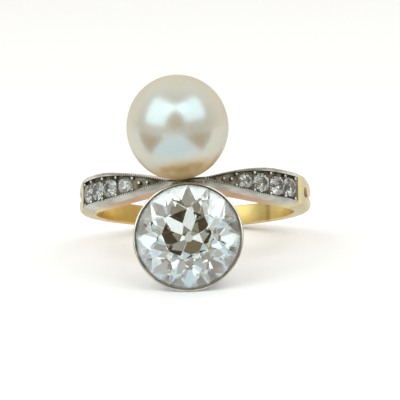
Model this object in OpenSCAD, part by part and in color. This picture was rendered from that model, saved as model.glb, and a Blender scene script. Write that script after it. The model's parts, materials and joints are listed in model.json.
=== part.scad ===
// Crossover finger ring: a pearl and an old-cut diamond between two diamond-set shoulders.
// It is drawn upright: the finger axis is Z with the pearl's side up, and the head faces -Y.
// The finished ring is then laid on its side, on the collet's rim and the back of the shank.

/* [Finger ring] */
// Inside diameter of the finger hole
finger_d = 17.3; // [16.9:0.1:17.7]
// Wall of the shank at its sides
side_wall = 1.5; // [1.4:0.05:1.6]
// Wall of the shank at the back
back_wall = 1.35; // [1.2:0.05:1.5]
// Reach of the finger side at the head, from the shoulders' middle line to the diamond's side
head_low = 1.05; // [0.9:0.05:1.2]
// The same reach to the pearl's side
head_high = 0.42; // [0.36:0.02:0.6]
// Reach of the finger side where the shoulders are broadest, to the diamond's side
shoulder_low = 1.63; // [1.5:0.01:1.75]
// The same reach to the pearl's side
shoulder_high = 1.38; // [1.35:0.01:1.5]
// Width of the shank at the back
back_w = 1.76; // [1.5:0.02:2]
// How far the worn back of the shank has moved to the diamond's side
back_drop = 0.25; // [0:0.05:0.3]
// Rounding of the shank's outside, from its middle to its edge
crown = 0.32; // [0.2:0.02:0.4]

/* [Drop piercing behind each shoulder] */
// Angle of the piercing's middle, from the head
drop_angle = 79.5; // [78:0.5:81]
// Length of the piercing round the ring
drop_len = 2.3; // [1.8:0.1:2.4]
// Width of the piercing at its round end, next to the shoulder
drop_w = 0.95; // [0.7:0.05:1.1]
// How far the piercing lies to the diamond's side
drop_low = 0.12; // [0:0.02:0.2]
// Depth of the groove that parts the two lobes behind it
groove_depth = 0.2; // [0.1:0.02:0.24]

/* [White metal shoulders] */
// Angle from the head to the square end of the right plate
plate_end = 65.3; // [64.8:0.1:66]
// How many degrees farther the left plate reaches
left_longer = 4.4; // [3.8:0.1:4.6]
// Angle where the left plate reaches its full width
broad_left = 50; // [46:1:54]
// Angle where the right plate reaches its full width
broad_right = 46; // [44:1:54]
// Angle where the plate's point begins
plate_tip = 7; // [6:0.5:8]
// How far the middle of the left plate's point lies to the diamond's side
left_low = 0.17; // [0:0.01:0.2]
// Greatest width of the plate
plate_w = 2.5; // [2.4:0.02:2.6]
// Width of the ridge that joins the two points
ridge_w = 0.16; // [0.12:0.02:0.24]
// Height of the plates above the finger hole, at the head
plate_h = 2.2; // [2.1:0.05:2.3]
// Thickness of the plates, from their top to the gold
plate_t = 1; // [0.96:0.01:1.04]
// Thickness of gold left under the bridge at the head
head_gold = 0.65; // [0.6:0.05:0.7]
// Width of the rim round the sunk bed of the stones
rim_w = 0.12; // [0.1:0.01:0.16]
// Width of the rim on the pearl's side, where the plate is broad
rim_high_w = 0.3; // [0.2:0.01:0.32]
// Depth of the sunk bed
bed_depth = 0.26; // [0.2:0.02:0.3]

/* [Shoulder diamonds] */
// Diameters of the right-hand stones, from the back of the shoulder to its tip
small_d_right = [1.85, 1.82, 1.7, 1.38];
// Diameters of the left-hand stones
small_d_left = [1.75, 1.82, 1.7, 1.52];
// Angles of the right-hand stones, from the head
small_right = [58.4, 48, 37.6, 28.5];
// Angles of the left-hand stones, from the head
small_left = [63.7, 51.3, 41.2, 31.3];
// How far the right-hand stones lie to the diamond's side of the plate's middle
small_low_right = [0.06, 0.15, 0.08, 0.08];
// The same for the left-hand stones
small_low_left = [0.08, 0.15, 0.13, 0.06];

/* [Pearl] */
// Diameter across the ring
pearl_w = 8.69; // [8.5:0.01:8.8]
// Diameter along the finger
pearl_l = 8.97; // [8.7:0.01:9]
// Where the pearl's middle lies along the finger, from the shoulders' middle line
pearl_along = 3.89; // [3.85:0.01:4]
// Where the pearl's middle lies across the ring
pearl_across = -0.46; // [-0.6:0.01:0]
// Height of the pearl's middle above the finger hole
pearl_h = 5.15; // [5.1:0.01:5.2]
// Diameter of the cup under the pearl
cup_d = 3.8; // [3.4:0.1:4]
// Diameter of the post in the pearl
post_d = 0.9; // [0.7:0.1:1]
// Length of the post in the pearl
post_len = 2.5; // [2:0.1:3]

/* [Main diamond] */
// Diameter of the girdle
stone_d = 9; // [8.8:0.02:9.04]
// Diameter of the table
table_d = 4.25; // [4.1:0.01:4.8]
// Height of the crown
crown_h = 1.75; // [1.6:0.05:1.8]
// Depth of the pavilion
pavilion_h = 3.8; // [3.7:0.05:3.95]
// Thickness of the girdle
girdle_h = 0.12; // [0.08:0.02:0.16]
// Diameter of the blunted point
culet_d = 0.75; // [0.4:0.05:0.9]

/* [Collet of the main diamond] */
// Diameter over the rim
collet_d = 9.44; // [9.4:0.01:9.5]
// Diameter at the foot
collet_foot_d = 6; // [5.6:0.1:6.2]
// Height of the collet
collet_h = 4; // [3.9:0.05:4.1]
// Height of the rim above the finger hole
collet_top = 4.7; // [4.65:0.01:4.75]
// Where the collet's middle lies along the finger
collet_along = -5.45; // [-5.6:0.01:-5.4]
// Where the collet's middle lies across the ring
collet_across = 0.31; // [0:0.01:0.5]

/* [Hidden] */
$fn = 96;
LEFT = -1;
RIGHT = 1;
small_count = len(small_d_right);

gap = 0.03;
finger_r = finger_d / 2;
side_r = finger_r + side_wall;
back_r = finger_r + back_wall;
bed_r = finger_r + head_gold;
collet_rim_h = finger_r + collet_top;
girdle_at = collet_rim_h - 0.2;
pearl_at = finger_r + pearl_h;
pearl_bottom = pearl_at - pearl_w / 2;

// The plates lie on a cylinder that is moved towards the head
plate_shift = 1.045;
plate_r = finger_r + plate_h - plate_shift;

// Angles from the head where the shank's form changes
broad_angle = 50;
narrow_angle = 150;
round_from = 66;
round_to = 94;
drop_from = 80;
groove_in = [73, 84];
groove_out = [92, 108];
edge_round = 0.12;

// Angle from the head to the square end of a plate
function end_angle(side) = side == LEFT ? plate_end + left_longer : plate_end;

function diamond_name(side, i) = str("diamond_", side == LEFT ? "left" : "right", "_", i);

// Rises smoothly from 0 at a0 to 1 at a1
function ease(a, a0, a1) = 0.5 - 0.5 * cos(180 * min(1, max(0, (a - a0) / (a1 - a0))));

function mix(from, to, share) = from + (to - from) * share;

// Reach of the ring next to the finger, at an angle from the head, on one side
function finger_reach(a, head, shoulder) =
    a < broad_angle
        ? mix(head, shoulder, ease(a, 0, broad_angle))
        : mix(shoulder, back_w / 2, ease(a, broad_angle, narrow_angle));

function finger_low(a) = finger_reach(a, head_low, shoulder_low);

function finger_high(a) = finger_reach(a, head_high, shoulder_high);

// Half the width of a shoulder plate: a sine from its point to its full width. The angle is
// below 0 on the left.
function plate_half(a) =
    let (broad = a < 0 ? broad_left : broad_right)
    max(ridge_w / 2, plate_w / 2 * sin(90 * min(1, max(0, abs(a) - plate_tip) / (broad - plate_tip))));

// How far the plate's middle lies to the diamond's side, which it does only on the left
function plate_low(a) = left_low * ease(8 - a, 0, 16) * (1 - ease(-a, 8, round_from));

// Reach of the outside on the side where the finger side reaches this far
function outer_reach(a, finger) =
    mix(plate_half(a), finger - edge_round, ease(abs(a), plate_end, round_to));

function outer_low(a) = outer_reach(a, finger_low(abs(a))) + plate_low(a);

function outer_high(a) = outer_reach(a, finger_high(abs(a))) - plate_low(a);

// The middle of the width, along the finger
function middle(a) = -back_drop * ease(a, drop_from, narrow_angle);

// Radius of the outside: the plates' cylinder at the front, and the shank's behind it
function plate_radius(a) =
    plate_shift * cos(a) + sqrt(pow(plate_r, 2) - pow(plate_shift * sin(a), 2));

function outer_radius(a) = max(plate_radius(a), mix(side_r, back_r, ease(a, round_to, 180)));

function groove(a) =
    groove_depth * (ease(a, groove_in[0], groove_in[1]) - ease(a, groove_out[0], groove_out[1]));

// Radius at t, which runs from -1 to 1 over the width of the outside
function outside(a, t) =
    outer_radius(a) - crown * ease(a, round_from, round_to) * pow(t, 4)
    - groove(a) * exp(-pow(t / 0.25, 2));

function ring_point(a, r, v) = [r * sin(a), -r * cos(a), v];

outer_steps = 10;
inner_r = finger_r - 0.45;

// A side wall slopes evenly from the finger to the outside, and is carried on inwards to here
function inner_reach(a, finger, outer) =
    finger + (finger - outer) * (finger_r - inner_r) / (outside(a, 1) - finger_r);

// The section at angle a: two points inside the finger hole, and a row over the outside
function ring_section(a) =
    let (
        b = abs(a),
        high = inner_reach(b, finger_high(b), outer_high(a)),
        low = inner_reach(b, finger_low(b), outer_low(a))
    )
    concat(
        [ring_point(a, inner_r, middle(b) + high), ring_point(a, inner_r, middle(b) - low)],
        [
            for (k = [0:outer_steps])
                let (share = k / outer_steps)
                ring_point(
                    a, outside(b, 2 * share - 1),
                    middle(b) + mix(-outer_low(a), outer_high(a), share)
                )
        ]
    );

// A solid skinned over sections with equally many points each
module skin(sections, closed) {
    n = len(sections);
    m = len(sections[0]);
    last = closed ? n - 1 : n - 2;
    walls = [
        for (i = [0:last])
            for (j = [0:m - 1])
                let (
                    a = i * m + j,
                    b = i * m + (j + 1) % m,
                    c = ((i + 1) % n) * m + (j + 1) % m,
                    d = ((i + 1) % n) * m + j
                )
                each [[a, b, c], [a, c, d]]
    ];
    ends = closed ? [] : [
        [for (j = [m - 1:-1:0]) j],
        [for (j = [0:m - 1]) (n - 1) * m + j]
    ];
    polyhedron([for (s = sections) each s], concat(walls, ends), convexity = 8);
}

ring_step = 3;

// Shank and shoulders together, before they are parted into gold and white metal
module ring_form() {
    skin([for (a = [-180:ring_step:180 - ring_step]) ring_section(a)], true);
}

// A piece of a broad tube round the finger, from one angle to another
module sector(from_r, to_r, half_h, from_a, to_a) {
    rotate([0, 0, from_a - 90]) rotate_extrude(angle = to_a - from_a)
        translate([from_r, -half_h]) square([to_r - from_r, 2 * half_h]);
}

head_angle = 10;

// The space of the white metal: a layer that follows the plates' outside, and a deeper
// recess at the head
module white_space(layer_r, head_r, trim) {
    difference() {
        sector(finger_r + 0.25, finger_r + 4, 2.5, trim - end_angle(LEFT), end_angle(RIGHT) - trim);
        translate([0, -plate_shift, -3]) cylinder(h = 6, r = layer_r);
    }
    sector(head_r, finger_r + 4, 2.5, trim - head_angle, head_angle - trim);
}

// Moves a thing drawn along Z to stand on the outside at angle a from the head
module at_angle(a, r) {
    rotate([0, 0, a]) translate([0, -r, 0]) rotate([90, 0, 0]) children();
}

// Moves a thing drawn with its height above the finger axis along Z to the head
module at_head(across, along) {
    translate([across, 0, along]) rotate([90, 0, 0]) children();
}

// A drop with its round end towards the shoulder
module drop_outline() {
    round_at = -(drop_len - drop_w) / 2;
    reach = drop_len - drop_w / 2;
    touch = acos(drop_w / 2 / reach);
    translate([round_at, 0]) circle(d = drop_w);
    polygon([
        [round_at + reach, 0],
        [round_at + drop_w / 2 * cos(touch), drop_w / 2 * sin(touch)],
        [round_at + drop_w / 2 * cos(touch), -drop_w / 2 * sin(touch)]
    ]);
}

bed_first = 10.5;

// Half the width of the bed inside a rim this wide
function bed_half(a, rim) = max(plate_half(a) - rim, 0.55 * plate_half(a));

// The sunk bed of one shoulder, with a broader rim on the pearl's side
module bed(side) {
    bed_last = end_angle(side) - 0.7;
    skin([
        for (k = [0:16])
            let (
                b = mix(bed_first, bed_last, k / 16),
                a = side * (side == RIGHT ? b : bed_first + bed_last - b),
                rim_high = mix(rim_w, rim_high_w, ease(abs(a), bed_first, broad_angle)),
                high = bed_half(a, rim_high) - plate_low(a),
                low = -bed_half(a, rim_w) - plate_low(a),
                floor_r = plate_radius(a) - bed_depth,
                top_r = floor_r + 1
            )
            [
                ring_point(a, floor_r, high), ring_point(a, floor_r, low),
                ring_point(a, top_r, low), ring_point(a, top_r, high)
            ]
    ], false);
}

function small_angle(side, i) = side * (side == LEFT ? small_left[i] : small_right[i]);

function small_low(side, i) = side == LEFT ? small_low_left[i] : small_low_right[i];

function small_d(side, i) = side == LEFT ? small_d_left[i] : small_d_right[i];

// Old-cut proportions of the small stones, as shares of the diameter
small_table = 0.52;
small_crown = 0.15;
small_pavilion = 0.38;
small_girdle = 0.03;
small_culet = 0.08;
girdle_sink = 0.26;

module at_small(side, i) {
    a = small_angle(side, i);
    at_angle(a, plate_radius(a) - girdle_sink)
        translate([0, -small_low(side, i) - plate_low(a), 0]) children();
}

// The drilled seat of a small stone: its pavilion's cone and a straight way in
module seat(d) {
    deep = small_pavilion * d + gap;
    translate([0, 0, -deep - small_girdle * d]) cylinder(h = deep, r1 = gap * 2, r2 = d / 2 + gap);
    translate([0, 0, -small_girdle * d]) cylinder(h = 1.2, r = d / 2 + gap);
}

module seats() {
    for (side = [LEFT, RIGHT])
        for (i = [0:small_count - 1])
            at_small(side, i) seat(small_d(side, i));
}

// The pearl's outside, grown by extra all round
module pearl_form(extra) {
    translate([0, 0, pearl_at])
        scale([pearl_w + 2 * extra, pearl_l + 2 * extra, pearl_w + 2 * extra] / 2)
            sphere(r = 1);
}

cup_top = pearl_bottom + 0.42;
cup_bottom = finger_r + 0.3;
post_top = pearl_bottom + post_len;

module pearl_cup() {
    translate([0, 0, cup_bottom])
        cylinder(h = cup_top - cup_bottom, r1 = cup_d / 2 - 0.3, r2 = cup_d / 2);
}

module pearl_post() {
    translate([0, 0, cup_bottom + 0.2]) cylinder(h = post_top - cup_bottom - 0.2, d = post_d);
}

foot_r = collet_foot_d / 2;
collet_r = collet_d / 2;
collet_foot = collet_rim_h - collet_h;
foot_wall = 0.42;

// Rubbed-over rim, groove for the girdle, bearing below it, and a wall that tapers to the foot
module collet() {
    groove_r = stone_d / 2 + gap;
    rotate_extrude() polygon([
        [foot_r - foot_wall, collet_foot],
        [foot_r, collet_foot],
        [collet_r, collet_rim_h - 0.12],
        [collet_r - 0.05, collet_rim_h],
        [groove_r - 0.15, collet_rim_h],
        [groove_r, girdle_at + 0.09],
        [groove_r, girdle_at - 0.09],
        [groove_r - 0.28, girdle_at - 0.35]
    ]);
}

bridge_r = [bed_r - 0.2, bed_r + 0.58];
bridge_low = collet_along + foot_r - foot_wall;
bridge_high = pearl_along - cup_d / 2 + 0.5;
bridge_angle = 8.3;
bridge_split = 0.22;
arm_angles = [-7.8, 2.5];
gold_reach = 1.75;

// The hidden bridge over the head that joins collet, shoulders and cup. Its arm under the pearl
// is narrower, and reaches a little into the broad part.
module bridge() {
    translate([0, 0, (bridge_low + bridge_split) / 2])
        sector(
            bridge_r[0], bridge_r[1], (bridge_split - bridge_low) / 2, -bridge_angle, bridge_angle
        );
    translate([0, 0, bridge_high / 2 - 0.1])
        sector(
            bridge_r[0] + 0.02, bridge_r[1] - 0.02, bridge_high / 2 + 0.1,
            arm_angles[0], arm_angles[1]
        );
}

// A round old cut: octagonal table, 8 stars, 8 kites, 16 upper and 16 lower girdle
// facets, 8 mains and a blunted point. Z is 0 at the girdle's middle.
module old_cut(d, table, crown_tall, pavilion_tall, girdle, culet, star, lower) {
    r = d / 2;
    table_r = table / 2;
    culet_r = culet / 2;
    top = girdle / 2;
    // A main facet is flat, so its height depends only on the distance along its own angle
    star_r = mix(table_r, r, star);
    star_z = crown_tall * (r - star_r * cos(22.5)) / (r - table_r);
    lower_r = mix(r, culet_r, lower);
    culet_flat = culet_r * cos(22.5);
    lower_z = pavilion_tall * (r - lower_r * cos(22.5)) / (r - culet_flat);
    points = concat(
        [for (i = [0:7]) [table_r * cos(45 * i), table_r * sin(45 * i), top + crown_tall]],
        [for (i = [0:7]) [star_r * cos(45 * i + 22.5), star_r * sin(45 * i + 22.5), top + star_z]],
        [for (i = [0:15]) [r * cos(22.5 * i), r * sin(22.5 * i), top]],
        [for (i = [0:15]) [r * cos(22.5 * i), r * sin(22.5 * i), -top]],
        [for (i = [0:7]) [lower_r * cos(45 * i + 22.5), lower_r * sin(45 * i + 22.5), -top - lower_z]],
        [for (i = [0:7]) [
            culet_r * cos(45 * i + 22.5), culet_r * sin(45 * i + 22.5), -top - pavilion_tall
        ]]
    );
    table_at = 0;
    star_at = 8;
    upper_at = 16;
    under_at = 32;
    lower_at = 48;
    culet_at = 56;
    faces = concat(
        [[for (i = [7:-1:0]) table_at + i]],
        [[for (i = [0:7]) culet_at + i]],
        [for (i = [0:7])
            let (
                j = (i + 1) % 8,
                h = (i + 7) % 8,
                g = upper_at + 2 * i,
                g1 = upper_at + 2 * i + 1,
                g2 = upper_at + 2 * j,
                u = under_at + 2 * i,
                u1 = under_at + 2 * i + 1,
                u2 = under_at + 2 * j
            )
            each [
                [table_at + i, table_at + j, star_at + i],
                [table_at + i, star_at + i, g, star_at + h],
                [star_at + i, g1, g],
                [star_at + i, g2, g1],
                [g, g1, u1, u],
                [g1, g2, u2, u1],
                [u, u1, lower_at + i],
                [u1, u2, lower_at + i],
                [u, lower_at + i, culet_at + i, culet_at + h, lower_at + h]
            ]
        ]
    );
    polyhedron(points, faces, convexity = 2);
}

// The lowest points when the ring lies down: the collet's rim, and the shank's back edge.
// Each is [height above the finger axis, place along the finger].
rest_rim = [collet_rim_h - 0.12, collet_along - collet_r];
rest_back = [-outside(180, 1), middle(180) - outer_low(180)];
tilt = atan2(rest_back[1] - rest_rim[1], rest_rim[0] - rest_back[0]);
rest_z = -(rest_rim[0] * sin(tilt) + rest_rim[1] * cos(tilt));
// The front and the back of the ring as it lies
front_y = -(girdle_at + crown_h) * cos(tilt) + (collet_along - table_d / 2) * sin(tilt);
back_y = back_r * cos(tilt);

// Lays the upright ring on its side, with the middle of its length at the origin
module laid() {
    translate([0, -(front_y + back_y) / 2, rest_z]) rotate([-tilt, 0, 0]) children();
}

module shank() {
    color("goldenrod") laid() difference() {
        ring_form();
        white_space(plate_r - plate_t, bed_r, 0);
        translate([0, 0, -3]) cylinder(h = 6, r = finger_r);
        for (side = [LEFT, RIGHT])
            at_angle(side * drop_angle, finger_r - 1) mirror([side == LEFT ? 1 : 0, 0, 0])
                translate([0, -drop_low, 0]) linear_extrude(4) drop_outline();
        seats();
    }
}

// Both shoulders and the bridge, cut out together over the gold
module shoulders() {
    difference() {
        union() {
            intersection() {
                ring_form();
                white_space(plate_r - plate_t + gap, bed_r - 0.2, 0.15);
            }
            bridge();
        }
        sector(finger_r - 1, bed_r + gap, gold_reach, -head_angle - 1.5, head_angle + 1.5);
        bed(LEFT);
        bed(RIGHT);
        seats();
    }
}

module mount() {
    color("silver") laid() {
        difference() {
            union() {
                shoulders();
                at_head(pearl_across, pearl_along) pearl_cup();
            }
            at_head(pearl_across, pearl_along) pearl_form(gap);
        }
        at_head(pearl_across, pearl_along) pearl_post();
        at_head(collet_across, collet_along) collet();
    }
}

module pearl() {
    color("linen") laid() at_head(pearl_across, pearl_along) difference() {
        pearl_form(0);
        translate([0, 0, pearl_bottom - 1])
            cylinder(h = post_len + 1 + 2 * gap, d = post_d + 2 * gap);
    }
}

module main_diamond() {
    color("lightcyan") laid() at_head(collet_across, collet_along)
        translate([0, 0, girdle_at])
            old_cut(stone_d, table_d, crown_h, pavilion_h, girdle_h, culet_d, 0.45, 0.7);
}

module shoulder_diamond(side, i) {
    d = small_d(side, i);
    color("lightgray") laid() at_small(side, i)
        old_cut(
            d, small_table * d, small_crown * d, small_pavilion * d, small_girdle * d,
            small_culet * d, 0.5, 0.6
        );
}

shank();
mount();
pearl();
main_diamond();
for (side = [LEFT, RIGHT])
    for (i = [1:small_count])
        shoulder_diamond(side, i - 1);
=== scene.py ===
import json
import math

import bmesh
import bpy
import numpy as np
from mathutils import Matrix


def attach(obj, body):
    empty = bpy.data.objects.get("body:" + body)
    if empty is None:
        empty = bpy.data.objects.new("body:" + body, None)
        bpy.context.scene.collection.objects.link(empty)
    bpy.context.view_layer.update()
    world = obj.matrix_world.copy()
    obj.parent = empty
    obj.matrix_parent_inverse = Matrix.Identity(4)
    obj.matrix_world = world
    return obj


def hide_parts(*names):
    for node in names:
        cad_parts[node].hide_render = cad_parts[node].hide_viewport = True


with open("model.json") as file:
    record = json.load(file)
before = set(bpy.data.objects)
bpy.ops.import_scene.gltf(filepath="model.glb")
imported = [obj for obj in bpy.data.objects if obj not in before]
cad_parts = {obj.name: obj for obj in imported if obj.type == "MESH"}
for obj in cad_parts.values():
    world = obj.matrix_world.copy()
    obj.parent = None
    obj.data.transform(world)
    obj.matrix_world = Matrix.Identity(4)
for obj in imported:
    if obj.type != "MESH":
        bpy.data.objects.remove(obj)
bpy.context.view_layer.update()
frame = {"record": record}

# Camera
# The ring lies on its side, as the record's finger hole says. The camera faces the head, from 9
# degrees below the plane square to the finger axis and 4 degrees to the right of the middle.
hole = frame["record"]["mounts"][0]
HOLE = np.array(hole["pos_m"]) * 1000
FINGER = np.array(hole["axis"])
ACROSS = np.array([1.0, 0.0, 0.0])
HEAD = np.cross(ACROSS, FINGER)
DISTANCE = 400.0
PIXELS_PER_MM = 11.393
RING_AT_PIXEL = (195.1, 198.5)
IMAGE = 400
SENSOR = 36.0


def stand(right, up, back, spot):
    """Where a thing stands whose own axes point right, up and back, at a spot in millimetres."""
    rows = [[right[k], up[k], back[k], spot[k] / 1000] for k in range(3)]
    return Matrix(rows + [[0, 0, 0, 1]])


below, sideways, rolled = np.radians([9.33, 4.04, -0.69])
towards_lens = (
    math.sin(sideways) * math.cos(below) * ACROSS
    - math.sin(below) * FINGER
    + math.cos(sideways) * math.cos(below) * HEAD
)
level = np.cross(FINGER, towards_lens)
level /= np.linalg.norm(level)
upright = np.cross(towards_lens, level)
camera_data = bpy.data.cameras.new("camera")
camera_data.sensor_width = SENSOR
camera_data.lens = SENSOR * PIXELS_PER_MM * DISTANCE / IMAGE
camera_data.shift_x = (IMAGE / 2 - RING_AT_PIXEL[0]) / IMAGE
camera_data.shift_y = (RING_AT_PIXEL[1] - IMAGE / 2) / IMAGE
camera_data.clip_start = 0.02
camera_data.clip_end = 20
camera = bpy.data.objects.new("camera", camera_data)
camera.matrix_world = stand(
    math.cos(rolled) * level + math.sin(rolled) * upright,
    math.cos(rolled) * upright - math.sin(rolled) * level,
    towards_lens,
    HOLE + DISTANCE * towards_lens,
)
bpy.context.scene.collection.objects.link(camera)
bpy.context.scene.camera = camera


# Floor and studio
# A white table under soft white light. Two bright windows stand up to the left and right behind
# the camera, with a bright strip between them. The room there is darker, and darkest just over the
# lens. The ring also mirrors a dark desk on each side of a pale blue sheet in front of it.
def new_object(name, points, faces, smooth=True):
    """A mesh object from points in millimetres and lists of corners, at the origin, in metres."""
    mesh = bpy.data.meshes.new(name)
    mesh.from_pydata((np.asarray(points) / 1000).tolist(), [], faces)
    mesh.polygons.foreach_set("use_smooth", np.full(len(mesh.polygons), smooth))
    mesh.validate()
    piece = bpy.data.objects.new(name, mesh)
    bpy.context.scene.collection.objects.link(piece)
    return piece


class Finish:
    """The nodes of a material or of the room. Each method adds one kind and hands back its output."""

    def __init__(self, owner, coordinates="Object", shader="Principled BSDF"):
        """Takes up the owner's shader, and the coordinates that its textures read."""
        owner.use_nodes = True
        self.owner = owner
        self.tree = owner.node_tree
        self.shader = self.tree.nodes[shader]
        self.place = self.add("ShaderNodeTexCoord").outputs[coordinates]

    def add(self, kind, **settings):
        """A new node of a kind, with its settings."""
        node = self.tree.nodes.new(kind)
        for key, value in settings.items():
            setattr(node, key, value)
        return node

    def feed(self, socket, value):
        """Links a node's output to a socket, or sets the socket to a number, a vector or a colour."""
        if isinstance(value, bpy.types.NodeSocket):
            self.tree.links.new(value, socket)
        else:
            socket.default_value = (*value, 1) if socket.type == "RGBA" else value

    def give(self, name, value):
        """Feeds a socket of the shader itself."""
        self.feed(self.shader.inputs[name], value)

    def noise(self, scale, detail=2.0):
        """Cloudy noise from 0 to 1, at the surface's own place."""
        node = self.add("ShaderNodeTexNoise")
        node.inputs["Scale"].default_value = scale
        node.inputs["Detail"].default_value = detail
        self.feed(node.inputs["Vector"], self.place)
        return node.outputs["Fac"]

    def ramp(self, value, *stops):
        """A colour that follows the value through stops, each a value and its colour, in rising order."""
        node = self.add("ShaderNodeValToRGB")
        elements = node.color_ramp.elements
        for k, (at, colour) in enumerate((stops[0], stops[-1])):
            elements[k].position = at
            elements[k].color = (*colour, 1)
        for at, colour in stops[1:-1]:
            elements.new(at).color = (*colour, 1)
        self.feed(node.inputs["Fac"], value)
        return node.outputs["Color"]

    def between(self, value, low, high, start=0.0, end=1.0, kind="LINEAR"):
        """A number that goes from low to high as the value goes from start to end."""
        node = self.add("ShaderNodeMapRange", interpolation_type=kind)
        numbers = (value, start, end, low, high)
        for name, number in zip(("Value", "From Min", "From Max", "To Min", "To Max"), numbers):
            self.feed(node.inputs[name], number)
        return node.outputs["Result"]

    def vector(self, operation, first, second=None):
        """One step of vector arithmetic."""
        node = self.add("ShaderNodeVectorMath", operation=operation)
        self.feed(node.inputs[0], first)
        if second is not None:
            self.feed(node.inputs[1], second)
        return node.outputs["Value" if operation in ("DOT_PRODUCT", "LENGTH") else "Vector"]

    def blend(self, share, first, last, kind="MIX"):
        """A share from 0 to 1 of the last colour, mixed into the first or multiplied onto it."""
        node = self.add("ShaderNodeMix", data_type="RGBA", blend_type=kind)
        for key, value in (("Factor", share), (6, first), (7, last)):
            self.feed(node.inputs[key], value)
        return node.outputs[2]

    def emboss(self, height, strength, depth):
        """Bumps the surface by the height, at most a depth in metres."""
        node = self.add("ShaderNodeBump")
        node.inputs["Strength"].default_value = strength
        node.inputs["Distance"].default_value = depth
        self.feed(node.inputs["Height"], height)
        self.give("Normal", node.outputs["Normal"])


def new_finish(name):
    """The finish of a new material."""
    return Finish(bpy.data.materials.new(name))


FLOOR_HALF = 1500.0
floor = new_object(
    "floor",
    [(-FLOOR_HALF, -FLOOR_HALF, 0), (FLOOR_HALF, -FLOOR_HALF, 0),
     (FLOOR_HALF, FLOOR_HALF, 0), (-FLOOR_HALF, FLOOR_HALF, 0)],
    [(0, 1, 2, 3)],
    smooth=False,
)
white_table = new_finish("white_table")
white_table.give("Base Color", (0.965, 0.965, 0.98))
white_table.give("Emission Color", (0.80, 0.89, 1.0))
white_table.give("Emission Strength", 0.09)
white_table.give("Roughness", 0.75)
white_table.emboss(white_table.noise(900), 0.03, 0.0001)
floor.data.materials.append(white_table.owner)

# Direction of the dark patch over the lens, and its reach across, in depth and up
PATCH_AT = (0.0, -0.9, 0.43)
PATCH_REACH = np.array([0.42, 1.2, 0.24])
world = bpy.data.worlds.new("studio")
bpy.context.scene.world = world
room = Finish(world, "Generated", "Background")
backwards = room.vector("DOT_PRODUCT", room.place, (0.0, 0.95, 0.3))
walls = room.ramp(backwards, (0.0, (0.54, 0.52, 0.46)), (0.6, (0.93, 0.89, 0.82)))
from_patch = room.vector("MULTIPLY", room.vector("SUBTRACT", room.place, PATCH_AT), 1 / PATCH_REACH)
patch_share = room.vector("LENGTH", from_patch)
shade = room.ramp(patch_share, (0.8, (0.50, 0.41, 0.27)), (1.0, (1.0, 1.0, 1.0)))
room.give("Color", room.blend(1.0, walls, shade, "MULTIPLY"))

# Soft lights at degrees to the right of the ring's front and above the table, with their width,
# height and radiance
DAYLIGHT = (0.90, 0.97, 1.0)
WINDOW_DISTANCE = 330.0
for name, azimuth, height, size, radiance in (
    ("window_left", -50, 40, (310, 300), 1.45),
    ("window_right", 50, 45, (320, 250), 1.4),
    ("window_bridge", 0, 54, (250, 90), 1.15),
):
    azimuth, height = math.radians(azimuth), math.radians(height)
    towards = np.array([
        math.sin(azimuth) * math.cos(height), -math.cos(azimuth) * math.cos(height), math.sin(height),
    ])
    light = bpy.data.lights.new(name, "AREA")
    light.shape = "RECTANGLE"
    light.size, light.size_y = size[0] / 1000, size[1] / 1000
    light.energy = radiance * math.pi * light.size * light.size_y
    light.color = DAYLIGHT
    side = np.cross([0, 0, 1.0], towards)
    side /= np.linalg.norm(side)
    lamp = bpy.data.objects.new(name, light)
    lamp.matrix_world = stand(side, np.cross(towards, side), towards, HOLE + WINDOW_DISTANCE * towards)
    bpy.context.scene.collection.objects.link(lamp)

# Flat cards just over the table, seen only in reflections
CARD_HEIGHT = 0.2
for name, colour, outline in (
    ("desk_left", (0.16, 0.11, 0.05), [(-16, -14), (-200, 0), (-200, -130), (-50, -130)]),
    ("desk_right", (0.16, 0.11, 0.05), [(15, -16), (45, -165), (200, -165), (200, -16)]),
    ("paper_front", (0.72, 0.90, 1.0), [(-14, -20), (-42, -150), (34, -150), (13, -20)]),
):
    card = new_object(name, [(x, y, CARD_HEIGHT) for x, y in outline], [(0, 1, 2, 3)], smooth=False)
    card.visible_camera = card.visible_shadow = card.visible_diffuse = False
    matt = new_finish(name)
    matt.give("Base Color", colour)
    matt.give("Roughness", 1.0)
    card.data.materials.append(matt.owner)

bpy.context.scene.view_settings.view_transform = "Standard"
bpy.context.scene.view_settings.look = "None"
bpy.context.scene.view_settings.exposure = 0.0

# Gold shank
# One ring of yellow gold, broad and bevelled under the white metal and narrower to the back,
# with a bed for the shoulders and a drop-shaped piercing behind each. It is polished and worn.
FINGER_R = hole["dims"]["r_mm"]
# Sizes are in millimetres. D, R, H, W and L end the names of diameters, radii, heights, widths and
# lengths. Angles are in degrees from the head. Side -1 is the left, and side 1 the right
SIDE_WALL, BACK_WALL, HEAD_WALL = 1.5, 1.35, 0.65
HEAD_R = FINGER_R + HEAD_WALL
HEAD_ANGLE = 10.0
# Reach of the finger side to the diamond's side and to the pearl's, at the head and at the shoulders
HEAD_LOW, HEAD_HIGH = 1.05, 0.42
SHOULDER_LOW, SHOULDER_HIGH = 1.63, 1.38
BROADEST, NARROWEST = 50.0, 150.0
BACK_HALF, BACK_DROP, DROP_FROM = 0.88, 0.25, 80.0
# The outside is bevelled behind the plates, and turns from flat to crowned on the way there
BEVEL, CROWN = 0.12, 0.32
ROUND_FROM, ROUND_TO = 66.0, 94.0
GROOVE, GROOVE_WIDTH, GROOVE_STARTS, GROOVE_ENDS = 0.2, 0.25, (73, 84), (92, 108)
PLATE_TIP, PLATE_END, PLATE_BROAD = 7.0, {-1: 69.7, 1: 65.3}, {-1: 50.0, 1: 46.0}
PLATE_HALF, RIDGE_HALF, PLATE_THICK = 1.25, 0.08, 1.0
LEFT_LOW, LEFT_LOW_FROM = 0.17, 8.0
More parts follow.
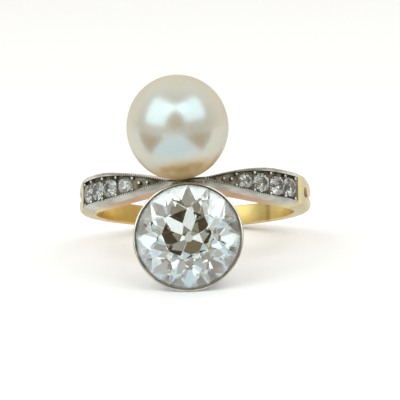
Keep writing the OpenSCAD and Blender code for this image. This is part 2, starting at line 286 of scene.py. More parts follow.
# The plates lie on a cylinder that is moved towards the head, where they are highest
PLATE_HEIGHT, PLATE_SHIFT = 2.2, 1.045
PLATE_R = FINGER_R + PLATE_HEIGHT - PLATE_SHIFT
# The gap between the two metals, and round the stones
SEAM = 0.03


def ease(angle, start, end):
    """Half a cosine wave that rises from 0 at start to 1 at end."""
    share = np.clip((np.asarray(angle, float) - start) / (end - start), 0, 1)
    return 0.5 - 0.5 * np.cos(np.pi * share)


def mix(low, high, share):
    """The value that lies a share of the way from low to high."""
    return low + (high - low) * share


def finger_reach(angle, head, shoulder):
    """Reach next to the finger to one side: it grows from the head to the shoulder, then shrinks."""
    away = np.abs(angle)
    front = mix(head, shoulder, ease(away, 0, BROADEST))
    rear = mix(shoulder, BACK_HALF, ease(away, BROADEST, NARROWEST))
    return np.where(away < BROADEST, front, rear)


def plate_half(angle):
    """Half the width of a shoulder plate: a sine from its point to its full width."""
    broad = np.where(np.asarray(angle) < 0, PLATE_BROAD[-1], PLATE_BROAD[1])
    share = np.clip((np.abs(angle) - PLATE_TIP) / (broad - PLATE_TIP), 0, 1)
    return np.maximum(RIDGE_HALF, PLATE_HALF * np.sin(np.pi / 2 * share))


def plate_low(angle):
    """How far the plate's middle lies to the diamond's side: nothing on the right, a half cosine
    rise over the head to the left plate's point, and another back to nothing at its end."""
    angle = np.asarray(angle, float)
    begins = ease(LEFT_LOW_FROM - angle, 0, 2 * LEFT_LOW_FROM)
    return LEFT_LOW * begins * (1 - ease(-angle, LEFT_LOW_FROM, ROUND_FROM))


def outer_reach(angle, finger):
    """Reach of the outside: the plate's half width, which eases behind the plates into a bevel less
    than the finger side's reach."""
    return mix(plate_half(angle), finger - BEVEL, ease(np.abs(angle), PLATE_END[1], ROUND_TO))


def reaches(angle):
    """Finger side's and outside's reach to the diamond's side, then the same to the pearl's side."""
    finger_low = finger_reach(angle, HEAD_LOW, SHOULDER_LOW)
    finger_high = finger_reach(angle, HEAD_HIGH, SHOULDER_HIGH)
    low = outer_reach(angle, finger_low) + plate_low(angle)
    high = outer_reach(angle, finger_high) - plate_low(angle)
    return finger_low, low, finger_high, high


def plate_radius(angle, depth=0.0):
    """Distance from the hole's axis to the cylinder that the plates lie on, or to one that is less
    by depth, by the cosine rule."""
    turn = np.radians(angle)
    shifted = (PLATE_R - depth) ** 2 - (PLATE_SHIFT * np.sin(turn)) ** 2
    return PLATE_SHIFT * np.cos(turn) + np.sqrt(shifted)


def outside(angle, t):
    """Radius of the outside at t from -1 to 1 over its width. The crown takes off the fourth power
    of t, and the groove behind the drop a bell curve about the middle."""
    away = np.abs(angle)
    wall = mix(SIDE_WALL, BACK_WALL, ease(away, ROUND_TO, 180))
    top = np.maximum(plate_radius(away), FINGER_R + wall)
    groove = GROOVE * (ease(away, *GROOVE_STARTS) - ease(away, *GROOVE_ENDS))
    crown = CROWN * ease(away, ROUND_FROM, ROUND_TO)
    return top - crown * t**4 - groove * np.exp(-((t / GROOVE_WIDTH) ** 2))


def gold_top(angle):
    """Radius of the gold under the plates, with a deeper recess at the head."""
    return np.where(np.abs(angle) < HEAD_ANGLE, HEAD_R, plate_radius(angle, PLATE_THICK))


def placed(across, along, out):
    """Points at distances across, along the finger and out of the head from the hole's middle."""
    distances = np.stack(np.broadcast_arrays(across, along, out), -1)
    return HOLE + distances @ np.stack([ACROSS, FINGER, HEAD])


def on_ring(angle, radius, along):
    """Points at degrees from the head, a radius, and a distance along the finger."""
    turn = np.radians(angle)
    return placed(radius * np.sin(turn), along, radius * np.cos(turn))


def directions(angle):
    """Unit vectors out of the ring and onwards along it, at degrees from the head."""
    turn = np.asarray(np.radians(angle))[..., None]
    return np.sin(turn) * ACROSS + np.cos(turn) * HEAD, np.cos(turn) * ACROSS - np.sin(turn) * HEAD


def rounded_section(corners, rounds, steps=6):
    """For each corner of a closed section, a parabola that starts and ends a short way from it."""
    parts = []
    t = np.linspace(0, 1, steps)[:, None, None]
    for k, corner in enumerate(corners):
        to_back, to_ahead = corners[k - 1] - corner, corners[(k + 1) % len(corners)] - corner
        first = corner + to_back / np.linalg.norm(to_back, axis=-1, keepdims=True) * rounds[k]
        last = corner + to_ahead / np.linalg.norm(to_ahead, axis=-1, keepdims=True) * rounds[k]
        parts.append((1 - t) ** 2 * first + 2 * t * (1 - t) * corner + t**2 * last)
    return parts


def tube_faces(rings, points, closed):
    """Corners of the quads between rings of points, and of the two ends if the tube is open."""
    i, j = np.meshgrid(np.arange(rings if closed else rings - 1), np.arange(points), indexing="ij")
    here, ahead = i * points, (i + 1) % rings * points
    beside = (j + 1) % points
    faces = np.stack([here + j, here + beside, ahead + beside, ahead + j], -1).reshape(-1, 4).tolist()
    if not closed:
        faces.append(list(range(points))[::-1])
        faces.append(list(range((rings - 1) * points, rings * points)))
    return faces


def turn_outwards(piece):
    """Merges doubles and points every face outwards."""
    shape = bmesh.new()
    shape.from_mesh(piece.data)
    bmesh.ops.remove_doubles(shape, verts=shape.verts, dist=1e-8)
    bmesh.ops.recalc_face_normals(shape, faces=shape.faces)
    shape.to_mesh(piece.data)
    shape.free()


def cut(piece, cutter):
    """Takes the cutter's volume out of the piece for good, and throws the cutter away."""
    turn_outwards(cutter)
    change = piece.modifiers.new("cut", "BOOLEAN")
    change.object = cutter
    change.operation = "DIFFERENCE"
    change.solver = "EXACT"
    bpy.context.view_layer.update()
    graph = bpy.context.evaluated_depsgraph_get()
    shape = bpy.data.meshes.new_from_object(piece.evaluated_get(graph))
    piece.modifiers.clear()
    old = piece.data
    shape.name = old.name
    piece.data = shape
    bpy.data.meshes.remove(old)
    bpy.data.objects.remove(cutter)


def crisp(piece, degrees):
    """Smooth shading that stops at edges sharper than the angle."""
    piece.data.polygons.foreach_set("use_smooth", np.full(len(piece.data.polygons), True))
    piece.data.set_sharp_from_angle(angle=math.radians(degrees))


# The section has four corners: the finger side's edge and the outside's, to each side of the ring
EDGE_ROUND, BED_ROUND, OUTER_ROUND = 0.14, 0.02, 0.12
steep = np.array([-PLATE_END[-1], -HEAD_ANGLE, HEAD_ANGLE, PLATE_END[1]])
around = np.unique(np.concatenate([np.arange(-179.0, 181.0), steep - 0.05, steep + 0.05]))
finger_low, low, finger_high, high = reaches(around)
on_bed = (around > -PLATE_END[-1]) & (around < PLATE_END[1])
edge_radius = outside(around, 1.0)
top_radius = np.where(on_bed, gold_top(around), edge_radius)
rise = (top_radius - FINGER_R) / (edge_radius - FINGER_R)
mid = -BACK_DROP * ease(np.abs(around), DROP_FROM, NARROWEST)
low_edge = mid - mix(finger_low, low, rise)
high_edge = mid + mix(finger_high, high, rise)
inner_radius = np.full(around.shape, FINGER_R)
corners = [
    np.stack(pair, -1) for pair in (
        (inner_radius, mid - finger_low), (top_radius, low_edge),
        (top_radius, high_edge), (inner_radius, mid + finger_high),
    )
]
top_round = np.where(on_bed, BED_ROUND, OUTER_ROUND)[:, None]
bends = rounded_section(corners, [EDGE_ROUND, top_round, top_round, EDGE_ROUND])
share = np.linspace(0.07, 0.93, 25)[:, None]
crown_radius = np.where(on_bed, top_radius, outside(around, 2 * share - 1))
over = np.stack([crown_radius, mix(low_edge, high_edge, share)], -1)
section = np.concatenate([bends[0], bends[1], over, bends[2], bends[3]])
ring_points = on_ring(around, section[..., 0], section[..., 1])
shank = new_object(
    "gold_shank",
    ring_points.transpose(1, 0, 2).reshape(-1, 3),
    tube_faces(len(around), len(section), True),
)
turn_outwards(shank)

DROP_ANGLE, DROP_LEN, DROP_W, DROP_LOW = 79.5, 2.3, 0.95, 0.12
DROP_SPAN, DROP_HALF = 11, 0.62


def drop_cutter(side):
    """A drop, an arc towards the shoulder and two tangents to its point, carried out from the finger."""
    radius = DROP_W / 2
    centre = (DROP_LEN - DROP_W) / 2
    touch = math.acos(radius / (DROP_LEN - radius))
    arc = np.linspace(np.pi - touch, -np.pi + touch, 25)
    u = -np.concatenate([[centre - (DROP_LEN - radius)], centre + radius * np.cos(arc)])
    v = np.concatenate([[0.0], radius * np.sin(arc)]) - DROP_LOW
    out, onwards = directions(side * DROP_ANGLE)
    outline = HOLE + u[:, None] * side * onwards + v[:, None] * FINGER
    points = np.concatenate([outline + (FINGER_R - 1) * out, outline + (FINGER_R + 3) * out])
    return new_object("drop", points, tube_faces(2, len(u), False))


for side in (-1, 1):
    cut(shank, drop_cutter(side))
crisp(shank, 38)

gold = new_finish("yellow_gold")
gold.give("Metallic", 1.0)
scratches = gold.noise(900, 6)
gold.emboss(scratches, 0.06, 0.00002)
gold.give("Roughness", gold.between(scratches, 0.22, 0.38))
# The outside is brightest where the plates end, redder along them and duller behind them
from_middle = gold.vector("SUBTRACT", gold.place, HOLE / 1000)
to_head = gold.vector("DOT_PRODUCT", gold.vector("NORMALIZE", from_middle), HEAD)
alloy = gold.ramp(
    to_head,
    (0.02, (0.65, 0.51, 0.23)), (0.2, (0.60, 0.51, 0.31)), (0.3, (0.61, 0.52, 0.33)),
    (0.36, (0.76, 0.64, 0.27)), (0.42, (0.76, 0.65, 0.30)), (0.47, (0.74, 0.66, 0.42)),
    (0.72, (0.66, 0.42, 0.27)),
)
# The inside is a deeper yellow to the left. A thin dark line on it, 6 mm to the right of the
# middle, is a painted reflection.
centimetres_right = gold.vector("DOT_PRODUCT", from_middle, ACROSS * 100)
inside_with_painted_line = gold.ramp(
    centimetres_right,
    (0, (0.82, 0.58, 0.19)), (0.575, (0.80, 0.66, 0.28)), (0.605, (0.55, 0.41, 0.15)),
    (0.635, (0.80, 0.66, 0.28)),
)
radius_from_axis = gold.vector("LENGTH", gold.vector("CROSS_PRODUCT", from_middle, FINGER))
from_inside = gold.between(radius_from_axis, 0, 1, (FINGER_R + 0.05) / 1000, (FINGER_R + 0.22) / 1000)
worn = gold.add("ShaderNodeVectorMath", operation="SCALE")
gold.feed(worn.inputs[0], gold.blend(from_inside, inside_with_painted_line, alloy))
gold.feed(worn.inputs["Scale"], gold.between(gold.noise(420, 4), 0.8, 1.0, 0.35, 0.65))
gold.give("Base Color", worn.outputs["Vector"])
shank.data.materials.clear()
shank.data.materials.append(gold.owner)

# The walls inside each piercing are painted brown as the shade that falls in the hole.
drop_shade = new_finish("drop_grime")
blotches = drop_shade.noise(1500)
drop_shade.give("Base Color", drop_shade.ramp(blotches, (0.35, (0.52, 0.38, 0.25)), (0.65, (0.74, 0.60, 0.44))))
drop_shade.give("Roughness", 0.55)
shank.data.materials.append(drop_shade.owner)


def face_places(piece):
    """Each face's distances across, out of the head and along the finger, from the hole's middle."""
    middles = np.empty(len(piece.data.polygons) * 3)
    piece.data.polygons.foreach_get("center", middles)
    middles = middles.reshape(-1, 3) * 1000 - HOLE
    return middles @ ACROSS, middles @ HEAD, middles @ FINGER


x, h, v = face_places(shank)
radius, angle = np.hypot(x, h), np.degrees(np.arctan2(x, h))
# Faces on the walls inside the piercings take the painted shade.
in_drop = (np.abs(v) < DROP_HALF) & (np.abs(np.abs(angle) - DROP_ANGLE) < DROP_SPAN)
in_drop &= (radius > FINGER_R + 0.04) & (radius < outside(angle, 0.0) - 0.08)
shank.data.polygons.foreach_set("material_index", in_drop.astype(np.int32))
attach(shank, "root")
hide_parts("shank")

# Shoulder plates
# Two wedge-shaped plates of platinum lie on the gold, with sloping walls flush with it and a
# sunk bed along the top, drilled for the stones. The bed is dark with age.
BED_DEPTH, BED_FIRST, BED_LEAST = 0.26, 9.0, 0.55
RIM_LOW, RIM_HIGH = 0.12, 0.3
FINE_EDGE = 0.035
# A band under the beads is painted dark as shade, but on the pearl's side only near the head
DARK_BAND, DARK_TO = 0.13, 46
# Each side's stones from the back to the tip: diameter, angle and distance to the diamond's side
SMALL_D = {1: [1.85, 1.82, 1.7, 1.38], -1: [1.75, 1.82, 1.7, 1.52]}
SMALL_ANGLES = {1: [58.4, 48.0, 37.6, 28.5], -1: [63.7, 51.3, 41.2, 31.3]}
SMALL_LOW = {1: [0.06, 0.15, 0.08, 0.08], -1: [0.08, 0.15, 0.13, 0.06]}
SMALL_SINK = 0.26

platinum = new_finish("platinum")
platinum.give("Metallic", 1.0)
patches = platinum.noise(500, 5)
platinum.give("Base Color", platinum.ramp(patches, (0.36, (0.36, 0.36, 0.32)), (0.62, (0.62, 0.61, 0.57))))
scratches = platinum.noise(1100, 6)
platinum.emboss(scratches, 0.08, 0.00002)
platinum.give("Roughness", platinum.between(scratches, 0.15, 0.36))

# The bed's dark tarnish, also painted on as shade under the beads and in the collet's lip
tarnish_and_shade = new_finish("tarnished_bed")
tarnish_and_shade.give("Metallic", 1.0)
patches = tarnish_and_shade.noise(1500, 5)
tarnish_and_shade.give(
    "Base Color", tarnish_and_shade.ramp(patches, (0.35, (0.045, 0.038, 0.022)), (0.7, (0.24, 0.21, 0.15)))
)
tarnish_and_shade.emboss(patches, 0.5, 0.00006)
tarnish_and_shade.give("Roughness", 0.38)


def bed_edges(angle):
    """Both edges of the sunk bed along the finger: the plate's half width less the rim, and at least
    a share of it. The rim on the pearl's side grows broader."""
    half, middle_at = plate_half(angle), -plate_low(angle)
    rim_high = mix(RIM_LOW, RIM_HIGH, ease(np.abs(angle), BED_FIRST, BROADEST))
    low, high = np.maximum(half - RIM_LOW, half * BED_LEAST), np.maximum(half - rim_high, half * BED_LEAST)
    return middle_at - low, middle_at + high


def plate(side):
    """The section walks up one wall, over the rim, down into the bed and back, from point to end."""
    end = PLATE_END[side]
    away = np.concatenate([
        np.linspace(0, HEAD_ANGLE - 0.15, 30), np.linspace(HEAD_ANGLE + 0.05, 17, 24),
        np.arange(17.6, end - 0.3, 0.6), [end - 0.15],
    ])
    angle = side * away
    top = plate_radius(angle)
    finger_low, low, finger_high, high = reaches(angle)
    under = gold_top(angle) + SEAM
    rise = (under - FINGER_R) / (top - FINGER_R)
    slope_low, slope_high = (finger_low - low) / (top - FINGER_R), (finger_high - high) / (top - FINGER_R)
    sunk = ease(away, BED_FIRST - 1, BED_FIRST + 6) * (1 - ease(away, end - 0.9, end - 0.6))
    depth = BED_DEPTH * sunk + 0.004
    bed_low, bed_high = bed_edges(angle)
    fine = np.minimum(FINE_EDGE, plate_half(angle) * 0.3)
    lip = top - np.minimum(fine, depth) * 0.5
    rows = [
        (under, -mix(finger_low, low, rise)), (top - fine * 1.5, -low - slope_low * fine * 1.5),
        (top - fine * 0.4, -low + fine * 0.25), (top, -low + fine), (top, bed_low - fine), (lip, bed_low),
        (top - depth, bed_low + fine), (top - depth, bed_high - fine), (lip, bed_high),
        (top, bed_high + fine), (top, np.maximum(high - 0.12, bed_high + 1.5 * fine)),
        (top, high - fine), (top - fine * 0.4, high - fine * 0.25),
        (top - fine * 1.5, high + slope_high * fine * 1.5), (under, mix(finger_high, high, rise)),
    ]
    radius, along = np.stack([r for r, _ in rows], -1), np.stack([v for _, v in rows], -1)
    return on_ring(angle[:, None], radius, along)


def small_place(side, index):
    """Middle of a small stone's girdle, and its directions out of the ring and along its curve."""
    angle = side * SMALL_ANGLES[side][index]
    out, onwards = directions(angle)
    lowered = SMALL_LOW[side][index] + plate_low(angle)
    return HOLE + (plate_radius(angle) - SMALL_SINK) * out - lowered * FINGER, out, onwards


def seat_cutter(side, index):
    """A cylinder over a cone, cut down into the plate where a stone sits."""
    d = SMALL_D[side][index]
    middle_at, out, onwards = small_place(side, index)
    wall = d / 2 + SEAM
    levels = [(-0.9, 0.02), (-0.42 * d, 0.08), (-0.03 * d, wall), (1.0, wall)]
    step = np.linspace(0, 2 * np.pi, 40, endpoint=False)[:, None]
    rings = [middle_at + h * out + r * (np.cos(step) * onwards + np.sin(step) * FINGER) for h, r in levels]
    return new_object("seat", np.concatenate(rings), tube_faces(len(levels), len(step), False))


for side, side_name in ((-1, "left"), (1, "right")):
    points = plate(side)
    faces = tube_faces(len(points), points.shape[1], False)
    shoulder = new_object("shoulder_" + side_name, points.reshape(-1, 3), faces)
    turn_outwards(shoulder)
    for index in range(len(SMALL_D[side])):
        cut(shoulder, seat_cutter(side, index))
    crisp(shoulder, 30)
    shoulder.data.materials.clear()
    shoulder.data.materials.append(platinum.owner)
    shoulder.data.materials.append(tarnish_and_shade.owner)
    x, h, v = face_places(shoulder)
    angle = np.degrees(np.arctan2(x, h))
    sunk = plate_radius(angle) - np.hypot(x, h)
    bed_low, bed_high = bed_edges(angle)
    inside = (v > bed_low - 0.02) & (v < bed_high + 0.02) & (sunk > 0.01)
    inside &= np.abs(angle) < PLATE_END[side] - 0.7
    from_edge = plate_half(angle) - np.abs(v + plate_low(angle))
    # Painted shade in a band under the beads
    painted_shade_under_beads = (from_edge < DARK_BAND) & (sunk < 0.02) & ((v < 0) | (np.abs(angle) < DARK_TO))
    shoulder.data.polygons.foreach_set("material_index", (inside | painted_shade_under_beads).astype(np.int32))
    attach(shoulder, "root")
    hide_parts("mount")

# Milgrain
# A row of tiny beads is rolled into both edges of each plate's rim, one mesh a side. The beads are
# rubbed bright, and worn down towards the back.
BEAD_D, BEAD_PITCH, BEAD_FROM_EDGE = 0.155, 0.215, 0.065
BEAD_WORN, BEAD_WORN_FROM, BEAD_WORN_TO = 0.05, 34, 46

rubbed = new_finish("rubbed_platinum")
rubbed.give("Metallic", 1.0)
patches = rubbed.noise(900)
rubbed.give("Base Color", rubbed.ramp(patches, (0.35, (0.50, 0.50, 0.47)), (0.65, (0.80, 0.80, 0.78))))
rubbed.give("Roughness", rubbed.between(patches, 0.08, 0.2))


def repeated(faces, count, each):
    """The same faces on each of count clusters, where a cluster has so many points each."""
    return (np.array(faces) + each * np.arange(count)[:, None, None]).reshape(-1, len(faces[0])).tolist()


def beads(centres, outs, diameters):
    """Half-round beads: an eight-sided dome of three levels over each centre, pointing along out."""
    sides = 8
    lift = np.radians([-20, 20, 52])
    turn = np.linspace(0, 2 * np.pi, sides, endpoint=False)
    u = np.cross(outs, FINGER + 0.01 * ACROSS)
    u /= np.linalg.norm(u, axis=1, keepdims=True)
    w = np.cross(outs, u)
    domes = centres[:, None, None] + diameters[:, None, None, None] / 2 * (
        u[:, None, None] * (np.cos(lift)[:, None] * np.cos(turn))[..., None]
        + w[:, None, None] * (np.cos(lift)[:, None] * np.sin(turn))[..., None]
        + outs[:, None, None] * np.repeat(np.sin(lift)[:, None], sides, 1)[..., None]
    )
    tops = centres + diameters[:, None] / 2 * outs
    count, each = len(centres), 3 * sides + 1
    points = np.concatenate([domes.reshape(count, -1, 3), tops[:, None]], 1).reshape(-1, 3)
    *walls, foot, _ = tube_faces(3, sides, False)
    tips = [[2 * sides + k, 2 * sides + (k + 1) % sides, 3 * sides] for k in range(sides)]
    return points, repeated(walls, count, each) + repeated([foot], count, each) + repeated(tips, count, each)


def evenly(points, pitch):
    """Which points of a fine path lie nearest to equal steps of its length."""
    length = np.concatenate([[0], np.cumsum(np.linalg.norm(np.diff(points, axis=0), axis=1))])
    return np.searchsorted(length, np.arange(0, length[-1], pitch))


for side, side_name in ((-1, "left"), (1, "right")):
    fine_angle = side * np.linspace(PLATE_TIP + 2, PLATE_END[side] - 0.6, 4000)
    worn_down = BEAD_WORN * ease(np.abs(fine_angle), BEAD_WORN_FROM, BEAD_WORN_TO)
    radius = plate_radius(fine_angle) + 0.01 - worn_down
    centres, outs = [], []
    for edge in (-1, 1):
        edge_at = edge * (plate_half(fine_angle) - BEAD_FROM_EDGE) - plate_low(fine_angle)
        path = on_ring(fine_angle, radius, edge_at)
        chosen = np.minimum(evenly(path, BEAD_PITCH), len(path) - 1)
        centres.append(path[chosen])
        outs.append(directions(fine_angle[chosen])[0])
    centres, outs = np.concatenate(centres), np.concatenate(outs)
    points, faces = beads(centres, outs, np.full(len(centres), BEAD_D))
    milgrain = new_object("milgrain_" + side_name, points, faces)
    milgrain.data.materials.append(rubbed.owner)
    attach(milgrain, "root")
    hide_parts("mount")

# Setting grains
# Small domes of platinum pushed up out of the bed and rubbed bright. A pair stands between each two
# stones and at both ends of their row, and two lone ones on the bare bed towards each tip.
GRAIN_D, GRAIN_SINK, GRAIN_FROM_EDGE = 0.3, 0.13, 0.15
LONE_D, LONE_ANGLES = [0.36, 0.32], {1: [21.1, 17.4], -1: [22.6, 18.4]}
# Degrees from the first stone or the plate's end to the first pair, and from the last stone to its
BEHIND_FIRST, BEFORE_END, BEYOND_LAST = 4.6, 1.7, 5
for side, side_name in ((-1, "left"), (1, "right")):
    stones = np.array(SMALL_ANGLES[side])
    first_pair = min(stones[0] + BEHIND_FIRST, PLATE_END[side] - BEFORE_END)
    pairs = side * np.concatenate([
        [first_pair], (stones[1:] + stones[:-1]) / 2, [stones[-1] - BEYOND_LAST],
    ])
    lone = side * np.array(LONE_ANGLES[side])
    bed_low, bed_high = bed_edges(pairs)
    angle = np.concatenate([pairs, pairs, lone])
    at = np.concatenate([bed_low + GRAIN_FROM_EDGE, bed_high - GRAIN_FROM_EDGE, -plate_low(lone)])
    sizes = np.concatenate([np.full(2 * len(pairs), GRAIN_D), LONE_D])
    places = on_ring(angle, plate_radius(angle) - GRAIN_SINK, at)
    points, faces = beads(places, directions(angle)[0], sizes)
    grains = new_object("grains_" + side_name, points, faces)
    grains.data.materials.append(rubbed.owner)
    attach(grains, "root")
    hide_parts("mount")

# Collet
# The main diamond's setting: a tapered tube of platinum whose thin rim is rubbed over the stone.
# It is bright on the rim, and dull and yellowed inside. Heights are from the finger axis.
STONE_D, STONE_TABLE, CROWN_H, PAVILION_H, GIRDLE_H, CULET_D = 9.0, 4.25, 1.75, 3.8, 0.12, 0.75
COLLET_D, COLLET_FOOT_D, COLLET_H, FOOT_WALL = 9.44, 6.0, 4.0, 0.42
COLLET_ALONG, COLLET_ACROSS = -5.45, 0.31
RIM_HEIGHT, GIRDLE_DEPTH = 4.7, 0.2
RIM_AT = FINGER_R + RIM_HEIGHT
GIRDLE_AT = RIM_AT - GIRDLE_DEPTH
FOOT_AT, FOOT_INNER_R = RIM_AT - COLLET_H, COLLET_FOOT_D / 2 - FOOT_WALL
GROOVE_R = STONE_D / 2 + SEAM
BEARING_R, BEARING_AT = GROOVE_R - 0.28, GIRDLE_AT - 0.35


def lathe(name, profile, across, along, steps=160):
    """A solid of revolution about an axis out of the head, from a closed profile of radius and height."""
    profile = np.asarray(profile, float)
    turn = np.linspace(0, 2 * np.pi, steps, endpoint=False)[:, None]
    x, y = profile[:, 0] * np.cos(turn), profile[:, 0] * np.sin(turn)
    points = placed(across + x, along + y, profile[:, 1])
    piece = new_object(name, points.reshape(-1, 3), tube_faces(steps, len(profile), True))
    turn_outwards(piece)
    return piece


collet_profile = np.array([
    (FOOT_INNER_R, FOOT_AT), (COLLET_FOOT_D / 2, FOOT_AT),
    (COLLET_D / 2, RIM_AT - 0.10), (COLLET_D / 2 - 0.08, RIM_AT), (GROOVE_R - 0.15, RIM_AT),
    (GROOVE_R, GIRDLE_AT + 0.09), (GROOVE_R, GIRDLE_AT - 0.09), (BEARING_R, BEARING_AT),
])
collet_bends = rounded_section(collet_profile[:, None], [0.1, 0.1, 0.06, 0.08, 0.1, 0.04, 0.02, 0.02])
collet = lathe("collet", np.concatenate(collet_bends)[:, 0], COLLET_ACROSS, COLLET_ALONG)
crisp(collet, 35)

patina = new_finish("collet_lining")
blotches = patina.noise(700, 5)
patina.give("Base Color", patina.ramp(blotches, (0.35, (0.34, 0.25, 0.11)), (0.65, (0.50, 0.39, 0.19))))
patina.emboss(blotches, 0.3, 0.00004)
patina.give("Roughness", 0.6)
for finish in (platinum, patina, tarnish_and_shade, rubbed):
    collet.data.materials.append(finish.owner)
x, h, v = face_places(collet)
radius = np.hypot(x - COLLET_ACROSS, v - COLLET_ALONG)
inner_r = mix(FOOT_INNER_R, BEARING_R, (h - FOOT_AT) / (BEARING_AT - FOOT_AT))
lining = (radius < inner_r + 0.05) & (h < GIRDLE_AT - 0.3)
# The lip inside the rim, against the stone, is painted dark as a shadow line.
lip = (radius < GROOVE_R - 0.005) & (h > GIRDLE_AT)
lip &= (h < RIM_AT - 0.02) | (radius < GROOVE_R - 0.05)
bright = (h > RIM_AT - 0.02) & ~lip
collet.data.polygons.foreach_set("material_index", (lining + 2 * lip + 3 * bright).astype(np.int32))
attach(collet, "root")
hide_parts("mount")

# Bridge, cup and post
# The hidden platinum work behind the head: a bar over the gold that carries the collet and a
# shallow cup, whose post is cemented into the pearl.
PEARL_W, PEARL_L = 8.69, 8.97
PEARL_ALONG, PEARL_ACROSS, PEARL_HEIGHT = 3.89, -0.46, 5.15
PEARL_AT = FINGER_R + PEARL_HEIGHT
PEARL_BOTTOM = PEARL_AT - PEARL_W / 2
CUP_R, CUP_FOOT = 1.9, FINGER_R + 0.3
POST_R, POST_TOP = 0.45, PEARL_BOTTOM + 2.5
dish_r = np.linspace(CUP_R, 0, 12)[1:]
dish_r = dish_r[dish_r > POST_R + 0.01]
dish_at = PEARL_AT - np.sqrt((PEARL_W / 2 + SEAM) ** 2 - dish_r**2)
cup_profile = [
    (0.0, CUP_FOOT), (CUP_R - 0.42, CUP_FOOT), (CUP_R - 0.3, CUP_FOOT + 0.06),
    (CUP_R, PEARL_BOTTOM + 0.38), (CUP_R - 0.02, PEARL_BOTTOM + 0.42), *zip(dish_r, dish_at),
    (POST_R, PEARL_BOTTOM), (POST_R, POST_TOP - 0.1), (POST_R - 0.1, POST_TOP), (0.0, POST_TOP),
]
cup = lathe("pearl_cup", cup_profile, PEARL_ACROSS, PEARL_ALONG, 96)
crisp(cup, 35)
cup.data.materials.append(platinum.owner)
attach(cup, "root")
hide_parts("mount")

# Each bar has four rows along the finger, heights of its underside there and of its top over the
# recess in the gold, and the angles between which it is carried round the ring
BAR_STEPS = 13
bar_from = COLLET_ALONG + FOOT_INNER_R
bar_to = PEARL_ALONG - CUP_R + 0.3
for name, rows, under, over, angles in (
    ("bridge", [bar_from, -1.8, -1.75, 0.22], [-0.2, -0.2, SEAM, SEAM], 0.58, (-8.3, 8.3)),
    ("pearl_arm", [-0.2, 1.75, 1.8, bar_to], [SEAM, SEAM, -0.18, -0.18], 0.56, (-7.8, 2.5)),
):
    radius = HEAD_R + np.array(under + [over] * len(rows))
    along = np.array(rows + rows[::-1])
    points = on_ring(np.linspace(*angles, BAR_STEPS)[:, None], radius, along)
    bar = new_object(name, points.reshape(-1, 3), tube_faces(BAR_STEPS, len(along), False))
    turn_outwards(bar)
    crisp(bar, 35)
    bar.data.materials.append(platinum.owner)
    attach(bar, "root")
    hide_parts("mount")

# Pearl
# A cream cultured pearl, a little longer along the finger, with a blue-green sheen on a body of
# light brown nacre. Towards the diamond, body and sheen are painted golden brown as shade and as a
# reflection of the gold.
TO_DIAMOND = -0.99 * FINGER + 0.14 * ACROSS


def pearl_skin(north, east):
    """A sphere drawn out along the finger, and swollen by 0.15% in three waves round it."""
    swell = 1 + 0.0015 * np.sin(3 * east + 1) * np.cos(2 * north)
    across = PEARL_W / 2 * swell * np.cos(north) * np.cos(east)
    along = PEARL_L / 2 * swell * np.cos(north) * np.sin(east)
    return placed(PEARL_ACROSS + across, PEARL_ALONG + along, PEARL_AT + PEARL_W / 2 * np.sin(north))


PARALLELS, MERIDIANS = 97, 192
north = np.linspace(-np.pi / 2, np.pi / 2, PARALLELS)[:, None]
east = np.linspace(0, 2 * np.pi, MERIDIANS, endpoint=False)
pearl = new_object(
    "pearl_body", pearl_skin(north, east).reshape(-1, 3), tube_faces(PARALLELS, MERIDIANS, False)[:-2]
)
turn_outwards(pearl)

nacre = new_finish("nacre")
nacre.give("Roughness", 0.26)
nacre.give("IOR", 3.0)
nacre.give("Specular IOR Level", 0.83)
nacre.give("Subsurface Weight", 0.2)
nacre.give("Subsurface Radius", (0.0012, 0.0009, 0.0007))
nacre.give("Subsurface Scale", 1.0)
pearl_middle = placed(PEARL_ACROSS, PEARL_ALONG, PEARL_AT) / 1000
outwards = nacre.vector("NORMALIZE", nacre.vector("SUBTRACT", nacre.place, pearl_middle))
towards_diamond = nacre.vector("DOT_PRODUCT", outwards, TO_DIAMOND)
# Painted shade and a painted reflection of the gold, on the side towards the diamond
painted_gold_reflection_and_shade = nacre.between(towards_diamond, 0, 1, 0.68, 0.9, "SMOOTHSTEP")
cream = nacre.ramp(nacre.noise(260, 3), (0.3, (0.54, 0.41, 0.28)), (0.7, (0.61, 0.47, 0.335)))
nacre.give("Base Color", nacre.blend(painted_gold_reflection_and_shade, cream, (0.42, 0.28, 0.11)))
towards_head = nacre.vector("DOT_PRODUCT", outwards, HEAD)
overtone = nacre.ramp(towards_head, (0.48, (0.50, 0.68, 0.70)), (0.78, (0.57, 0.88, 1.0)))
nacre.give("Specular Tint", nacre.blend(painted_gold_reflection_and_shade, overtone, (0.55, 0.46, 0.34)))
pearl.data.materials.append(nacre.owner)
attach(pearl, "root")
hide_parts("pearl")


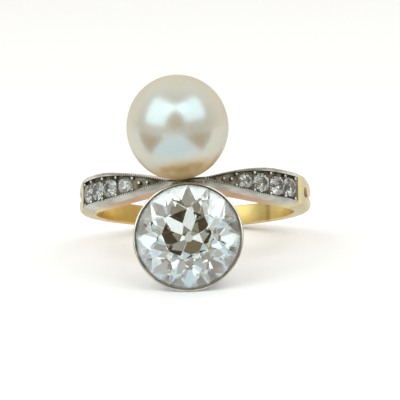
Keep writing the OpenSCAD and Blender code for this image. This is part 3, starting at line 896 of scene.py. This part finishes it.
# Main diamond
# A round old cut of about 2.6 carats with a small table, a high crown and a blunted point. It sits
# in the groove under the collet's rim, and is hazy towards its edge.
def old_cut(centre, out, d, table, crown, pavilion, girdle, culet, star, lower, spin=0.0):
    """Table, 8 stars, 8 kites, 16 upper and 16 lower girdle facets, 8 mains and the blunted point.
    A main facet is flat, so a corner's height depends only on its distance along the main's own angle."""
    r, table_r, culet_r, top = d / 2, table / 2, culet / 2, girdle / 2
    eighth = math.cos(math.pi / 8)
    star_r = mix(table_r, r, star)
    star_z = crown * (r - star_r * eighth) / (r - table_r)
    lower_r = mix(r, culet_r, lower)
    lower_z = pavilion * (r - lower_r * eighth) / (r - culet_r * eighth)

    def level(radius, height, count, offset):
        """Corners at equal steps round a circle, the first of them a share of a step along."""
        turn = spin + 2 * np.pi * (np.arange(count) + offset) / count
        return np.stack([radius * np.cos(turn), radius * np.sin(turn), np.full(count, height)], -1)

    local = np.concatenate([
        level(table_r, top + crown, 8, 0), level(star_r, top + star_z, 8, 0.5), level(r, top, 16, 0),
        level(r, -top, 16, 0), level(lower_r, -top - lower_z, 8, 0.5),
        level(culet_r, -top - pavilion, 8, 0.5),
    ])
    faces = [list(range(8)), [56 + k for k in range(7, -1, -1)]]
    for i in range(8):
        j, h = (i + 1) % 8, (i + 7) % 8
        g, g1, g2 = 16 + 2 * i, 17 + 2 * i, 16 + 2 * j
        u, u1, u2 = g + 16, g1 + 16, g2 + 16
        s, sh, p, ph = 8 + i, 8 + h, 48 + i, 48 + h
        faces += [
            [i, s, j], [i, sh, g, s], [s, g, g1], [s, g1, g2], [g, u, u1, g1], [g1, u1, u2, g2],
            [u, p, u1], [u1, p, u2], [u, ph, 56 + h, 56 + i, p],
        ]
    beside = np.cross(FINGER, out)
    beside /= np.linalg.norm(beside)
    return centre + local @ np.stack([beside, np.cross(out, beside), out]), faces


stone_at = placed(COLLET_ACROSS, COLLET_ALONG, GIRDLE_AT)
diamond = new_finish("diamond")
diamond.give("IOR", 2.42)
diamond.give("Transmission Weight", 1.0)
clouds = diamond.noise(350)
diamond.give("Base Color", diamond.ramp(clouds, (0.35, (0.63, 0.70, 0.69)), (0.65, (0.70, 0.75, 0.75))))
from_stone = diamond.vector("SUBTRACT", diamond.place, stone_at / 1000)
from_axis = diamond.vector("LENGTH", diamond.vector("CROSS_PRODUCT", from_stone, HEAD))
haze = diamond.between(from_axis, 0, 0.22, 0.36 * STONE_D / 1000, 0.5 * STONE_D / 1000, "SMOOTHSTEP")
diamond.give("Roughness", haze)

points, faces = old_cut(
    stone_at, HEAD, STONE_D, STONE_TABLE, CROWN_H, PAVILION_H, GIRDLE_H, CULET_D, 0.45, 0.7
)
main_diamond = new_object("main_stone", points, faces, smooth=False)
turn_outwards(main_diamond)
main_diamond.data.materials.append(diamond.owner)
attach(main_diamond, "root")
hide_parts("main_diamond")

# Shoulder diamonds
# Four old cuts a side, graduated to the tip, each down in its drilled seat. They are greyer than
# the main diamond, with dust behind them.
dusty = new_finish("dusty_diamond")
dusty.give("IOR", 2.42)
dusty.give("Transmission Weight", 1.0)
dust = dusty.noise(1400, 3)
dusty.give("Base Color", dusty.ramp(dust, (0.4, (0.28, 0.31, 0.27)), (0.6, (0.60, 0.62, 0.57))))
dusty.give("Roughness", dusty.between(dust, 0, 0.1, 0.4, 0.7))

for side, side_name in ((-1, "left"), (1, "right")):
    for index, d in enumerate(SMALL_D[side]):
        centre, out, _ = small_place(side, index)
        points, faces = old_cut(
            centre, out, d, 0.52 * d, 0.15 * d, 0.38 * d, 0.03 * d, 0.08 * d, 0.5, 0.6, 0.3 * index
        )
        stone = new_object("stone_%s_%d" % (side_name, index + 1), points, faces, smooth=False)
        turn_outwards(stone)
        stone.data.materials.append(dusty.owner)
        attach(stone, "root")
        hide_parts("diamond_%s_%d" % (side_name, index + 1))
